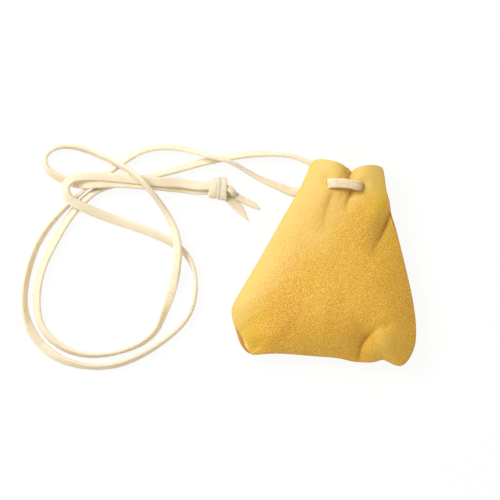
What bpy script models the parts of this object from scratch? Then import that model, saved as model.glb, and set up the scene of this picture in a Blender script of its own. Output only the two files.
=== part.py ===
"""A drawstring medicine pouch of soft golden leather, lying on its back beside its own thong.

Two leather panels are sewn along both sides and the bottom with a turned seam: each panel's
edge rolls over at the seam and its allowance lies flat against the other's, inside the pouch.
The mouth is left open. A flat leather thong comes up through a punched hole in the back panel
and one in the front panel, crosses the front, and goes down through a second pair. Drawn
tight, it gathers the mouth into two soft lobes. Its two free strands lie in loose loops on
the surface beside the pouch and end in one overhand knot with two cut tails.

Metres, +Z up. +Y runs from the bottom seam to the mouth, +X to the right of the front.
The origin is under the middle of the pouch, on the surface that it lies on.
"""

import math

import bmesh
import bpy
import numpy as np

MM = 0.001

# Overall sizes of the pouch as it lies.
POUCH_WIDTH = 66 * MM
POUCH_LENGTH = 74 * MM
MOUTH_WIDTH = 25.3 * MM

# Leather, seam and heights above the surface.
LEATHER = 1.2 * MM
FACE_GAP = 0.3 * MM
ALLOWANCE = 4.0 * MM
ROLL_HEIGHT = 1.6 * MM
SEAM_HEIGHT_BOTTOM = 4.8 * MM
SEAM_HEIGHT_BELLY = 6.5 * MM
SEAM_HEIGHT_MOUTH = 8.3 * MM
BELLY_RISE = 7.0 * MM
MOUTH_RISE = 3.4 * MM
BACK_DROP = 5.4 * MM
NECK_LIFT = 3.6 * MM
ROLL_INSET = 0.3 * MM
# Where the full belly ends above and how far it fades, and where the back's neck starts to lift,
# in shares of the pouch's length from its middle.
BELLY_TOP, BELLY_FADE = 0.336, 0.42
NECK_START, NECK_FADE = 0.08, 0.24

# The drawn mouth: two lobes of the front panel with a valley between them.
VALLEY_DEPTH = 3.6 * MM
VALLEY_HALF_WIDTH = 3.4 * MM
VALLEY_LENGTH = 26 * MM
VALLEY_NOTCH = 2.2 * MM
LOBE_REACH = 1.3 * MM
RIGHT_LOBE_SHARE = 0.5
LOBE_OFFSET = 8.6 * MM
LOBE_HALF_WIDTH = 4.2 * MM
LOBE_LENGTH = 12 * MM

# Thong: a flat lace 3.2 mm wide and 1.5 mm thick, as a round tube of the same section area. The
# holes lie at each side of the valley, 0.45 of the way from the middle of the front to its seam.
THONG_WIDTH = 3.2 * MM
THONG_THICKNESS = 1.5 * MM
THONG_DIAMETER = 2.4 * MM
HOLE_SPACING = 13.3 * MM
HOLE_SETBACK = 7.2 * MM
HOLE_SHIFT = 0.6 * MM
HOLE_SLANT = 0.5 * MM
HOLE_SHARE = 0.45
HOLE_CLEARANCE = 0.3 * MM
BRIDGE_GAP = 0.35 * MM
FLOOR_GAP = 0.25 * MM
# The ends of the captive stretch reach on under the back panel, towards their free strands.
END_REACH = 1.6 * MM
END_GAP = 0.45 * MM
LEFT_WAY = (-1.0, -0.25)
RIGHT_WAY = (-1.0, 0.45)

# The knot, which lies on the surface, and its two cut tails.
KNOT_CENTRE = (-37.4 * MM, 26.2 * MM)
KNOT_LENGTH = 5.8 * MM
KNOT_WIDTH = 9.8 * MM
KNOT_HEIGHT = 5.4 * MM
KNOT_TURN = math.radians(-8)
NUB_SIZE = 3.6 * MM
HUMP_DEPTH = 0.16
# Each tail's length, its width in thong widths, its heading in degrees, and its root: in lengths
# of the knot along it and in millimetres across it.
CUT_TAILS = (
    (13.0 * MM, 1.10, -48.0, 0.34, -1.2),
    (11.5 * MM, 0.85, -30.0, 0.75, -0.6),
)

# How finely the panels' cage and the tubes are divided.
CAGE_STATIONS = 28
CAGE_SHARES = (0.0, 0.24, 0.46, 0.65, 0.80, 0.90)
TUBE_CORNERS = 2
STRAND_POINTS = 64
BRIDGE_POINTS = 34

# The seam line from the left corner of the mouth, down, along the bottom and up again,
# in shares of half the width and half the length.
SEAM_LINE = (
    (-0.133, 0.973), (-0.188, 0.857), (-0.255, 0.730), (-0.542, 0.281), (-0.830, -0.165),
    (-0.962, -0.360), (-1.022, -0.476), (-0.992, -0.613), (-0.930, -0.740), (-0.855, -0.846),
    (-0.755, -0.886), (-0.418, -0.881), (0.018, -0.911), (0.291, -0.949), (0.509, -0.962),
    (0.664, -0.968), (0.827, -1.016), (0.924, -0.958), (0.991, -0.808), (1.000, -0.603),
    (0.970, -0.360), (0.903, -0.086), (0.836, 0.157), (0.767, 0.389), (0.724, 0.546),
    (0.679, 0.700), (0.652, 0.857), (0.630, 0.919),
)
# The mouth's width in that line, as a share of the pouch's width.
DRAWN_MOUTH_SHARE = 0.3815
# The lower end of the line along which the two halves of a panel's cage meet.
SPINE_FOOT = (0.02, -0.35)

# Routes of the free strands, from just outside their holes to the knot, in millimetres.
LEFT_ROUTE = (
    (-9.8, 25.5, 1.2), (-14.9, 27.1, 1.2), (-21.2, 29.7, 1.2), (-27.8, 33.2, 2.0),
    (-33.6, 36.4, 3.8), (-39.0, 37.9, 4.2), (-44.0, 39.4, 3.2), (-48.8, 40.7, 1.6),
    (-55.2, 41.7, 1.2), (-62.4, 41.2, 1.2), (-67.8, 39.2, 1.2), (-74.2, 34.9, 1.2),
    (-82.7, 29.0, 1.2), (-91.6, 21.3, 1.2), (-100.2, 11.4, 1.2), (-105.6, 0.0, 1.2),
    (-107.8, -12.0, 1.2), (-106.8, -20.6, 1.2), (-102.6, -28.4, 1.2), (-95.0, -34.4, 1.2),
    (-82.6, -37.4, 1.2), (-69.2, -34.9, 1.2), (-53.2, -24.6, 1.2), (-47.8, -17.6, 1.2),
    (-45.9, -9.0, 1.2), (-47.0, -1.2, 1.2), (-51.8, 5.4, 1.2), (-65.4, 12.3, 1.2),
    (-73.8, 15.1, 1.4), (-81.0, 17.8, 2.6), (-87.4, 20.6, 4.0), (-91.3, 23.3, 4.1),
    (-92.6, 26.8, 4.3), (-90.6, 30.0, 4.7), (-86.0, 31.3, 4.5), (-75.0, 31.2, 4.0),
    (-63.0, 30.3, 3.9), (-56.4, 29.6, 2.8), (-50.0, 28.9, 1.5), (-44.6, 28.0, 1.7),
)
RIGHT_ROUTE = (
    (8.6, 30.4, 1.2), (-4.0, 35.8, 1.2), (-10.2, 38.2, 1.2), (-17.7, 39.3, 1.2),
    (-33.6, 38.3, 1.2), (-48.8, 34.8, 1.2), (-56.6, 32.6, 1.2), (-70.4, 29.3, 1.2),
    (-81.4, 26.1, 1.2), (-86.2, 22.4, 1.2), (-89.8, 18.6, 1.2), (-98.2, 5.0, 1.2),
    (-102.8, -8.0, 1.2), (-102.2, -21.0, 1.2), (-98.4, -27.0, 1.2), (-92.2, -31.2, 1.2),
    (-83.4, -33.2, 1.2), (-73.6, -32.0, 1.2), (-65.6, -28.9, 1.2), (-60.4, -24.4, 1.2),
    (-57.7, -18.6, 1.2), (-54.2, -8.6, 1.6), (-52.6, -0.6, 3.3), (-52.3, 6.0, 4.1),
    (-53.8, 12.6, 3.0), (-56.8, 18.6, 3.2), (-63.4, 27.6, 7.0), (-67.6, 31.6, 6.9),
    (-72.4, 34.8, 5.2), (-82.0, 39.4, 1.6), (-87.0, 41.2, 1.2), (-92.4, 42.1, 1.2),
    (-96.9, 41.2, 1.2), (-100.0, 38.4, 1.2), (-99.7, 34.4, 1.2), (-96.8, 31.7, 1.2),
    (-92.4, 29.8, 1.2), (-88.4, 28.7, 2.4), (-84.6, 28.3, 4.0), (-75.0, 28.4, 4.0),
    (-63.0, 27.5, 3.9), (-56.4, 26.8, 2.8), (-50.0, 26.1, 1.5), (-44.6, 25.2, 1.7),
)


def ease(value):
    """A smooth step from 0 to 1 as the value runs from 0 to 1."""
    value = np.clip(value, 0.0, 1.0)
    return value * value * (3.0 - 2.0 * value)


def smooth_curve(points, per_span=12):
    """The smoothest curve through the points: cubic spans that share slope and bend at each point."""
    points = np.asarray(points, dtype=float)
    chords = np.linalg.norm(np.diff(points, axis=0), axis=1) ** 0.6
    count = len(points)
    system = np.zeros((count, count))
    right_side = np.zeros_like(points)
    system[0, :2] = (2.0, 1.0)
    right_side[0] = 3.0 * (points[1] - points[0]) / chords[0]
    system[-1, -2:] = (1.0, 2.0)
    right_side[-1] = 3.0 * (points[-1] - points[-2]) / chords[-1]
    for index in range(1, count - 1):
        before, after = chords[index - 1], chords[index]
        system[index, index - 1:index + 2] = (after, 2.0 * (before + after), before)
        right_side[index] = 3.0 * (after * (points[index] - points[index - 1]) / before
                                   + before * (points[index + 1] - points[index]) / after)
    slopes = np.linalg.solve(system, right_side)
    t = np.linspace(0.0, 1.0, per_span, endpoint=False)[:, None]
    curve = []
    for index, step in enumerate(chords):
        curve.append((2 * t**3 - 3 * t**2 + 1) * points[index]
                     + (t**3 - 2 * t**2 + t) * step * slopes[index]
                     + (3 * t**2 - 2 * t**3) * points[index + 1]
                     + (t**3 - t**2) * step * slopes[index + 1])
    curve.append(points[-1:])
    return np.vstack(curve)


def along_curve(curve, places):
    """Points of a curve at the given shares of its length."""
    lengths = np.linalg.norm(np.diff(curve, axis=0), axis=1)
    travelled = np.concatenate([[0.0], np.cumsum(lengths)])
    travelled /= travelled[-1]
    return np.stack([np.interp(places, travelled, axis) for axis in curve.T], axis=1)


def bend_spaced(curve, count):
    """The curve at so many points, closer together where it bends more."""
    steps = np.diff(curve, axis=0)
    lengths = np.linalg.norm(steps, axis=1)
    headings = steps / lengths[:, None]
    turns = np.arccos(np.clip(np.sum(headings[1:] * headings[:-1], axis=1), -1.0, 1.0))
    turns = np.convolve(np.concatenate([[0.0], turns, [0.0]]), np.ones(9) / 9, mode="same")
    need = lengths / (6 * MM) + 0.5 * (turns[1:] + turns[:-1]) / math.radians(34)
    travelled = np.concatenate([[0.0], np.cumsum(need)])
    places = np.linspace(0.0, travelled[-1], count)
    return np.stack([np.interp(places, travelled, axis) for axis in curve.T], axis=1)


def mouth_centre():
    """The middle of the drawn mouth, on the line between the seam's two ends."""
    left = np.array(SEAM_LINE[0])
    right = np.array(SEAM_LINE[-1])
    middle = 0.5 * (left + right)
    return middle * (0.5 * POUCH_WIDTH, 0.5 * POUCH_LENGTH)


def spine_foot():
    return np.array(SPINE_FOOT) * (0.5 * POUCH_WIDTH, 0.5 * POUCH_LENGTH)


def seam_points(places):
    """The seam line at shares of its length. The mouth keeps its own width."""
    line = np.array(SEAM_LINE) * (0.5 * POUCH_WIDTH, 0.5 * POUCH_LENGTH)
    centre = mouth_centre()
    squeeze = MOUTH_WIDTH / (DRAWN_MOUTH_SHARE * POUCH_WIDTH) - 1.0
    near_mouth = ease((line[:, 1] / POUCH_LENGTH + 0.1) / 0.5)
    line[:, 0] += (line[:, 0] - centre[0]) * squeeze * near_mouth
    return along_curve(smooth_curve(line), places)


def spine_points(places):
    """The line that both halves of the cage share, from the mouth to the middle and back."""
    travel = 0.5 * np.sin(math.pi * places) + 0.5 * (1.0 - np.abs(1.0 - 2.0 * places))
    start = mouth_centre()
    return start + (spine_foot() - start) * travel[:, None]


def seam_height(y):
    """Height of the seam: one parabola through its heights at the bottom, belly and mouth."""
    places = (-0.5 * POUCH_LENGTH, -0.1 * POUCH_LENGTH, 0.5 * POUCH_LENGTH)
    heights = (SEAM_HEIGHT_BOTTOM, SEAM_HEIGHT_BELLY, SEAM_HEIGHT_MOUTH)
    return np.polyval(np.polyfit(places, heights, 2), y)


def dome(share):
    """How full the pouch is, from 1 at the middle to 0 at the seam."""
    return np.clip(1.0 - share**2.6, 0.0, 1.0) ** 0.8


def valley(x, y):
    """The valley between the lobes, from 0 to 1: deepest at the mouth, gone by the belly."""
    centre = mouth_centre()
    start = centre[1] - VALLEY_LENGTH
    return ease((y - start) / (0.8 * VALLEY_LENGTH)) * np.exp(-((x - centre[0]) / VALLEY_HALF_WIDTH) ** 2)


def mouth_warp(x, y):
    """The mouth's edge runs out at the lobes and back at the valley."""
    centre = mouth_centre()
    left_lobe = np.exp(-((x - centre[0] + LOBE_OFFSET) / LOBE_HALF_WIDTH) ** 2)
    right_lobe = np.exp(-((x - centre[0] - LOBE_OFFSET) / LOBE_HALF_WIDTH) ** 2)
    notch = np.exp(-((x - centre[0]) / VALLEY_HALF_WIDTH) ** 2)
    near_mouth = ease((y - centre[1] + LOBE_LENGTH) / LOBE_LENGTH)
    return near_mouth * (LOBE_REACH * (left_lobe + RIGHT_LOBE_SHARE * right_lobe) - VALLEY_NOTCH * notch)


def front_height(x, y, share):
    """Middle of the front panel's leather above the surface."""
    fullness = ease((BELLY_TOP * POUCH_LENGTH - y) / (BELLY_FADE * POUCH_LENGTH))
    rise = MOUTH_RISE + (BELLY_RISE - MOUTH_RISE) * fullness
    base = seam_height(y) + 0.5 * (FACE_GAP + LEATHER) + ROLL_HEIGHT
    return base + rise * dome(share) - VALLEY_DEPTH * valley(x, y) * dome(share)


def back_height(x, y, share):
    """Middle of the back panel's leather: flat on the surface at the belly, lifted at the neck."""
    base = seam_height(y) - 0.5 * (FACE_GAP + LEATHER) - ROLL_HEIGHT
    lifted = ease((y - NECK_START * POUCH_LENGTH) / (NECK_FADE * POUCH_LENGTH))
    lowest = 0.5 * LEATHER + NECK_LIFT * lifted
    return np.maximum(lowest, base - BACK_DROP * dome(share))


def panel_cage(side):
    """Rings of points from the spine out to the seam, over the roll and in along the allowance.

    side is 1 for the front panel and -1 for the back. Returns an array of rings by stations.
    """
    places = np.linspace(0.0, 1.0, CAGE_STATIONS + 1)
    seam = seam_points(places)
    spine = spine_points(places)
    reach = np.linalg.norm(seam - spine, axis=1)
    inward = (spine - seam) / reach[:, None]
    height = front_height if side > 0 else back_height
    rings = []
    for share in CAGE_SHARES:
        spot = spine + (seam - spine) * share
        rings.append((spot, height(spot[:, 0], spot[:, 1], np.full(len(places), share))))
    flat = seam_height(seam[:, 1]) + side * 0.5 * (FACE_GAP + LEATHER)
    roll = flat + side * ROLL_HEIGHT
    rings.append((seam + inward * ROLL_INSET, roll))
    rings.append((seam + inward * ROLL_INSET, flat + side * 0.08 * LEATHER))
    rings.append((seam + inward * 1.3 * LEATHER, flat))
    rings.append((seam + inward * ALLOWANCE, flat))
    cage = []
    for spot, level in rings:
        warped = spot[:, 1] + mouth_warp(spot[:, 0], spot[:, 1])
        cage.append(np.column_stack([spot[:, 0], warped, level]))
    return np.array(cage)


def new_object(name, data, collection):
    item = bpy.data.objects.new(name, data)
    collection.objects.link(item)
    return item


def leather_material(name, colour, roughness):
    material = bpy.data.materials.new(name)
    material.use_nodes = True
    shader = material.node_tree.nodes["Principled BSDF"]
    shader.inputs["Base Color"].default_value = (*colour, 1.0)
    shader.inputs["Roughness"].default_value = roughness
    shader.inputs["Metallic"].default_value = 0.0
    return material


def grid_mesh(name, grid, upward):
    """Quads between neighbouring rings and stations, merged where two points coincide."""
    mesh = bpy.data.meshes.new(name)
    build = bmesh.new()
    points = [[build.verts.new(point) for point in ring] for ring in grid]
    for inner, outer in zip(points[:-1], points[1:]):
        for first in range(len(inner) - 1):
            corners = (inner[first], outer[first], outer[first + 1], inner[first + 1])
            build.faces.new(corners if upward else corners[::-1])
    bmesh.ops.remove_doubles(build, verts=build.verts, dist=0.01 * MM)
    build.to_mesh(mesh)
    build.free()
    return mesh


def make_panel(name, side, material, collection, punch):
    """A leather panel: a coarse cage made smooth, given its thickness and punched."""
    panel = new_object(name, grid_mesh(name, panel_cage(side), side > 0), collection)
    panel.data.materials.append(material)
    smooth = panel.modifiers.new("soft_form", "SUBSURF")
    smooth.levels = 1
    smooth.render_levels = 1
    wall = panel.modifiers.new("leather", "SOLIDIFY")
    wall.thickness = LEATHER
    wall.offset = 0.0
    wall.use_even_offset = True
    holes = panel.modifiers.new("punched_holes", "BOOLEAN")
    holes.operation = "DIFFERENCE"
    holes.object = punch
    panel.data.shade_smooth()
    return panel


def hole_places():
    """The two punched holes, level with each other at each side of the valley."""
    centre = mouth_centre()
    middle = np.array([centre[0] - HOLE_SHIFT, centre[1] - HOLE_SETBACK])
    half = np.array([0.5 * HOLE_SPACING, -HOLE_SLANT])
    return middle - half, middle + half


def bridge_route():
    """Up through the left pair of holes, across the front, and down through the right pair.

    At each end the thong turns to lie along the surface, towards its free strand.
    """
    left, right = hole_places()
    crown = front_height(left[0], left[1], HOLE_SHARE) + 0.5 * (LEATHER + THONG_DIAMETER) + BRIDGE_GAP
    turn = 0.9 * THONG_DIAMETER
    low = 0.5 * THONG_DIAMETER + FLOOR_GAP
    up = NECK_LIFT + 0.6 * THONG_DIAMETER
    rise = end_route(left, np.array(LEFT_WAY), turn, low) + [(*left, up), (*left, crown - turn)]
    fall = end_route(right, np.array(RIGHT_WAY), turn, low) + [(*right, up), (*right, crown - turn)]
    shares = (0.05, 0.17, 0.5, 0.83, 0.95)
    levels = (crown - 0.3 * turn, crown, crown, crown, crown - 0.3 * turn)
    across = [(*(left + share * (right - left)), level) for share, level in zip(shares, levels)]
    return np.array(rise + across + fall[::-1])


def end_route(hole, way, turn, low):
    """The end of the captive stretch, from under the back panel up to its hole."""
    return [
        (*(hole + way * (turn + END_REACH)), low),
        (*(hole + way * turn), low + FLOOR_GAP),
        (*(hole + way * 0.35 * turn), low + 0.45 * turn),
    ]


def strand_route(end, before, route):
    """From the captive stretch's end, straight on and through the chosen points, to the knot."""
    heading = (end - before) / np.linalg.norm(end - before)
    first = end + heading * END_GAP
    return np.vstack([first, first + heading * 0.5 * THONG_DIAMETER, np.array(route) * MM])


def knot_entry(across):
    """A point just outside the knot's near face, this far to one side of its axis."""
    along = -(0.5 * KNOT_LENGTH + 2 * FACE_GAP)
    x = KNOT_CENTRE[0] + along * math.cos(KNOT_TURN) - across * math.sin(KNOT_TURN)
    y = KNOT_CENTRE[1] + along * math.sin(KNOT_TURN) + across * math.cos(KNOT_TURN)
    return np.array([x, y, 0.42 * KNOT_HEIGHT])


def on_surface(curve):
    """The curve, lifted wherever a thong that follows it would sink into the surface."""
    lifted = curve.copy()
    lifted[:, 2] = np.maximum(lifted[:, 2], 0.5 * THONG_DIAMETER)
    return lifted


def make_tube(name, points, diameter, material, collection):
    """A round tube along the points, closed at both ends."""
    data = bpy.data.curves.new(name, "CURVE")
    data.dimensions = "3D"
    data.bevel_depth = 0.5 * diameter
    data.bevel_resolution = TUBE_CORNERS
    data.use_fill_caps = True
    line = data.splines.new("POLY")
    line.points.add(len(points) - 1)
    for spot, point in zip(line.points, points):
        spot.co = (*point, 1.0)
    tube = new_object(name, data, collection)
    if material:
        tube.data.materials.append(material)
    return tube


def as_mesh(item, collection):
    """The object's evaluated shape as a plain mesh object, with its loose caps welded."""
    name = item.name
    view = bpy.context.evaluated_depsgraph_get()
    mesh = bpy.data.meshes.new_from_object(item.evaluated_get(view))
    mesh.transform(item.matrix_world)
    build = bmesh.new()
    build.from_mesh(mesh)
    bmesh.ops.remove_doubles(build, verts=build.verts, dist=0.01 * MM)
    bmesh.ops.recalc_face_normals(build, faces=build.faces)
    build.to_mesh(mesh)
    build.free()
    bpy.data.objects.remove(item)
    solid = new_object(name, mesh, collection)
    return solid


def make_cutter(item):
    item.display_type = "WIRE"
    item.hide_render = True
    return item


def make_wraps(name, collection):
    """The two wraps of doubled thong round the strands: a turned, two-humped barrel."""
    half = 0.5 * KNOT_LENGTH
    places = np.linspace(1.0, -1.0, 13)
    humps = 1.0 - HUMP_DEPTH * (1.0 - np.abs(np.sin(math.pi * places)) ** 0.7)
    radii = humps * (1.0 - np.abs(places) ** 6 * 0.45)
    profile = [(0.0, 0.0, half)]
    profile += [(radius * 0.5 * KNOT_WIDTH, 0.0, place * half) for radius, place in zip(radii, places)]
    profile += [(0.0, 0.0, -half)]
    mesh = bpy.data.meshes.new(name)
    edges = [(index, index + 1) for index in range(len(profile) - 1)]
    mesh.from_pydata(profile, edges, [])
    wraps = new_object(name, mesh, collection)
    turn = wraps.modifiers.new("turned", "SCREW")
    turn.axis = "Z"
    turn.angle = math.tau
    turn.steps = 20
    turn.render_steps = 20
    turn.use_merge_vertices = True
    turn.merge_threshold = 0.01 * MM
    wraps.rotation_euler = (0.0, math.radians(90), 0.0)
    bpy.context.view_layer.update()
    barrel = as_mesh(wraps, collection)
    barrel.scale = (1.0, 1.0, KNOT_HEIGHT / KNOT_WIDTH)
    barrel.rotation_euler = (0.0, 0.0, KNOT_TURN)
    barrel.location = (*KNOT_CENTRE, 0.5 * KNOT_HEIGHT)
    bpy.context.view_layer.update()
    return as_mesh(barrel, collection)


def make_tail(name, root, heading, length, width, collection):
    """A flat cut end of the thong: straight edges, then a slanting cut to a point."""
    data = bpy.data.curves.new(name, "CURVE")
    data.dimensions = "2D"
    data.fill_mode = "BOTH"
    data.extrude = 0.5 * THONG_THICKNESS
    outline = [(0.0, -0.42), (0.55, -0.5), (0.82, -0.34), (1.0, 0.12), (0.86, 0.42), (0.5, 0.5), (0.0, 0.42)]
    line = data.splines.new("POLY")
    line.points.add(len(outline) - 1)
    line.use_cyclic_u = True
    for spot, (along, across) in zip(line.points, outline):
        spot.co = (along * length, across * width, 0.0, 1.0)
    tail = new_object(name, data, collection)
    tail.location = (*root, 0.5 * THONG_THICKNESS)
    tail.rotation_euler = (0.0, 0.0, heading)
    bpy.context.view_layer.update()
    return as_mesh(tail, collection)


def join(target, tool):
    """Fuse a second shape with the first."""
    union = target.modifiers.new(tool.name, "BOOLEAN")
    union.operation = "UNION"
    union.object = tool
    make_cutter(tool)


def make_knot(name, material, collection, tools):
    """The overhand knot: its wraps, the crossing that shows beside them and both tails."""
    knot = make_wraps(name, collection)
    knot.data.materials.append(material)
    bpy.ops.mesh.primitive_uv_sphere_add(segments=16, ring_count=10, radius=0.5 * NUB_SIZE)
    nub = bpy.context.object
    nub.name = "knot_crossing"
    for owner in list(nub.users_collection):
        owner.objects.unlink(nub)
    tools.objects.link(nub)
    nub.scale = (1.25, 1.1, 1.0)
    nub.location = (KNOT_CENTRE[0] + 0.5 * KNOT_LENGTH + 0.25 * NUB_SIZE, KNOT_CENTRE[1] - 0.2 * MM, 0.55 * NUB_SIZE)
    join(knot, nub)
    for number, (length, width, heading, along, across) in enumerate(CUT_TAILS):
        root = (KNOT_CENTRE[0] + along * KNOT_LENGTH, KNOT_CENTRE[1] + across * MM)
        tail = make_tail(f"cut_tail_{number + 1}", root, math.radians(heading), length, width * THONG_WIDTH, tools)
        join(knot, tail)
    return knot


for old in list(bpy.data.objects):
    bpy.data.objects.remove(old)

pouch = bpy.data.collections.new("medicine_pouch")
cutters = bpy.data.collections.new("cutters")
bpy.context.scene.collection.children.link(pouch)
bpy.context.scene.collection.children.link(cutters)

golden_leather = leather_material("golden_leather", (0.78, 0.46, 0.08), 0.55)
cream_lace = leather_material("cream_lace", (0.80, 0.66, 0.45), 0.8)

bridge_line = bridge_route()
bridge_points = bend_spaced(smooth_curve(bridge_line), BRIDGE_POINTS)
punch = as_mesh(make_tube("punch", bridge_points, THONG_DIAMETER + 2 * HOLE_CLEARANCE, None, cutters), cutters)
make_cutter(punch)

make_panel("front_panel", 1, golden_leather, pouch, punch)
make_panel("back_panel", -1, golden_leather, pouch, punch)
make_tube("thong_bridge", bridge_points, THONG_DIAMETER, cream_lace, pouch)

left_start = strand_route(bridge_line[0], bridge_line[1], LEFT_ROUTE)
right_start = strand_route(bridge_line[-1], bridge_line[-2], RIGHT_ROUTE)
side_step = 0.5 * (THONG_DIAMETER + FACE_GAP)
left_line = np.vstack([left_start, knot_entry(side_step)])
right_line = np.vstack([right_start, knot_entry(-side_step)])
for name, line in (("thong_strand_left", left_line), ("thong_strand_right", right_line)):
    strand = bend_spaced(on_surface(smooth_curve(line)), STRAND_POINTS)
    make_tube(name, strand, THONG_DIAMETER, cream_lace, pouch)
make_knot("thong_knot", cream_lace, pouch, cutters)
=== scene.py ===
import math

import bpy
import numpy as np
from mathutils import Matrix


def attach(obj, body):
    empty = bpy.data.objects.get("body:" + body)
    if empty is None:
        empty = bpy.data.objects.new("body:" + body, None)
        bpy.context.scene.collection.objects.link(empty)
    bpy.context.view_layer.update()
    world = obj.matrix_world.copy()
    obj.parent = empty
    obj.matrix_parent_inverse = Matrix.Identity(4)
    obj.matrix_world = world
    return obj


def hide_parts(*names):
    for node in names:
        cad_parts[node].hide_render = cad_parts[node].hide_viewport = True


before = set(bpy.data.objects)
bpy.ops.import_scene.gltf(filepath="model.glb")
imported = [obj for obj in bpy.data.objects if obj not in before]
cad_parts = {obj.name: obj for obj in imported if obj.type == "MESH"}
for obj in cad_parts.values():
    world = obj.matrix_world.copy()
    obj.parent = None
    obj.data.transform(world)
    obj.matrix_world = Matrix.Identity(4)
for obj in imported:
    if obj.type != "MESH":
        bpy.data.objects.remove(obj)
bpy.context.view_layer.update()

MM = 0.001


def placed(name, data):
    """A new object of the scene that shows this data."""
    item = bpy.data.objects.new(name, data)
    bpy.context.scene.collection.objects.link(item)
    return item


# The camera looks straight down on the pouch and its lace, with the mouth towards the top of the
# picture. Its long lens takes in 180 mm at the lace's own height.
VIEW_WIDTH = 180 * MM
VIEW_CENTRE = (-26.35 * MM, 4.68 * MM)
VIEW_HEIGHT = 3 * MM
VIEW_DISTANCE = 0.9
SENSOR_WIDTH = 36.0

camera_data = bpy.data.cameras.new("camera")
camera_data.sensor_width = SENSOR_WIDTH
camera_data.lens = SENSOR_WIDTH * VIEW_DISTANCE / VIEW_WIDTH
camera = placed("camera", camera_data)
camera.location = (*VIEW_CENTRE, VIEW_HEIGHT + VIEW_DISTANCE)
bpy.context.scene.camera = camera

# The free strands of the thong: one flat lace of soft cream hide, 3.35 mm wide and 1.5 mm thick,
# cut from a skin with a knife. Both ends leave the pouch from behind and lie in loose loops,
# mostly on their edge, up to the knot.
LACE_WIDTH = 3.35 * MM
LACE_THICKNESS = 1.5 * MM
LACE_GAUGE = 2.4 * MM
SPAN_STEPS = 12
STATION_GAP = 0.3 * MM
FINE_STEP = 0.2 * MM
SECTION_POINTS = 20
CORNER_POWER = 0.5
CROSSING_LIFT = 1.25
ROLL_BLEND = 5.0 * MM
LACE_CREAM = (0.89, 0.80, 0.63)
LACE_TAN = (0.83, 0.70, 0.50)
LACE_STAIN_AND_SHADE = (0.60, 0.40, 0.16)

# Millimetres, from just outside the holes to the knot, with the lace's roll at each point in
# degrees: 0 lies flat and 90 stands on its edge.
LEFT_ROUTE = (
    (-9.8, 25.5, 1.2), (-14.9, 27.1, 1.2), (-21.2, 29.7, 1.2), (-27.8, 33.2, 2.0),
    (-33.6, 36.4, 3.8), (-39.0, 37.9, 4.2), (-44.0, 39.4, 3.2), (-48.8, 40.7, 1.6),
    (-55.2, 41.7, 1.2), (-62.4, 41.2, 1.2), (-67.8, 39.2, 1.2), (-74.2, 34.9, 1.2),
    (-82.7, 29.0, 1.2), (-91.6, 21.3, 1.2), (-100.2, 11.4, 1.2), (-105.6, 0.0, 1.2),
    (-107.8, -12.0, 1.2), (-106.8, -20.6, 1.2), (-102.6, -28.4, 1.2), (-95.0, -34.4, 1.2),
    (-82.6, -37.4, 1.2), (-69.2, -34.9, 1.2), (-53.2, -24.6, 1.2), (-47.8, -17.6, 1.2),
    (-45.9, -9.0, 1.2), (-47.0, -1.2, 1.2), (-51.8, 5.4, 1.2), (-65.4, 12.3, 1.2),
    (-73.8, 15.1, 1.4), (-81.0, 17.8, 2.6), (-87.4, 20.6, 4.0), (-91.3, 23.3, 4.1),
    (-92.6, 26.8, 4.3), (-90.6, 30.0, 4.7), (-86.0, 31.3, 4.5), (-75.0, 31.2, 4.0),
    (-63.0, 30.3, 3.9), (-56.4, 29.6, 2.8), (-50.0, 28.9, 1.5), (-44.6, 28.0, 1.7),
)
LEFT_ROLLS = (
    25, 45, 66, 80, 78, 76, 72, 70, 68, 62, 60, 60, 74, 104, 114, 125, 121, 130, 172, 218,
    242, 242, 256, 262, 268, 280, 305, 338, 352, 358, 358, 340, 316, 330, 350, 366, 364, 350,
    344, 342,
)
RIGHT_ROUTE = (
    (8.6, 30.4, 1.2), (-4.0, 35.8, 1.2), (-10.2, 38.2, 1.2), (-17.7, 39.3, 1.2),
    (-33.6, 38.3, 1.2), (-48.8, 34.8, 1.2), (-56.6, 32.6, 1.2), (-70.4, 29.3, 1.2),
    (-81.4, 26.1, 1.2), (-86.2, 22.4, 1.2), (-89.8, 18.6, 1.2), (-98.2, 5.0, 1.2),
    (-102.8, -8.0, 1.2), (-102.2, -21.0, 1.2), (-98.4, -27.0, 1.2), (-92.2, -31.2, 1.2),
    (-83.4, -33.2, 1.2), (-73.6, -32.0, 1.2), (-65.6, -28.9, 1.2), (-60.4, -24.4, 1.2),
    (-57.7, -18.6, 1.2), (-54.2, -8.6, 1.6), (-52.6, -0.6, 3.3), (-52.3, 6.0, 4.1),
    (-53.8, 12.6, 3.0), (-56.8, 18.6, 3.2), (-63.4, 27.6, 7.0), (-67.6, 31.6, 6.9),
    (-72.4, 34.8, 5.2), (-82.0, 39.4, 1.6), (-87.0, 41.2, 1.2), (-92.4, 42.1, 1.2),
    (-96.9, 41.2, 1.2), (-100.0, 38.4, 1.2), (-99.7, 34.4, 1.2), (-96.8, 31.7, 1.2),
    (-92.4, 29.8, 1.2), (-88.4, 28.7, 2.4), (-84.6, 28.3, 4.0), (-75.0, 28.4, 4.0),
    (-63.0, 27.5, 3.9), (-56.4, 26.8, 2.8), (-50.0, 26.1, 1.5), (-44.6, 25.2, 1.7),
)
RIGHT_ROLLS = (
    30, 70, 84, 70, 50, 48, 58, 66, 60, 50, 40, 38, 42, 46, 52, 56, 70, 76, 66, 60,
    45, -18, -40, -42, -52, -64, -70, -68, -65, -66, -70, -76, -84, -94, -112, -132,
    -150, -170, -186, -194, -196, -194, -190, -190,
)
# Where the captive stretch ends under the back panel, and where the strands enter the knot.
LEFT_EXIT = (-2.81, 27.36, 1.45)
RIGHT_EXIT = (10.49, 28.99, 1.45)
KNOT_CENTRE = (-37.4, 26.2)
KNOT_TURN = math.radians(-8)
STRAND_SPREAD = 1.35
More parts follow.
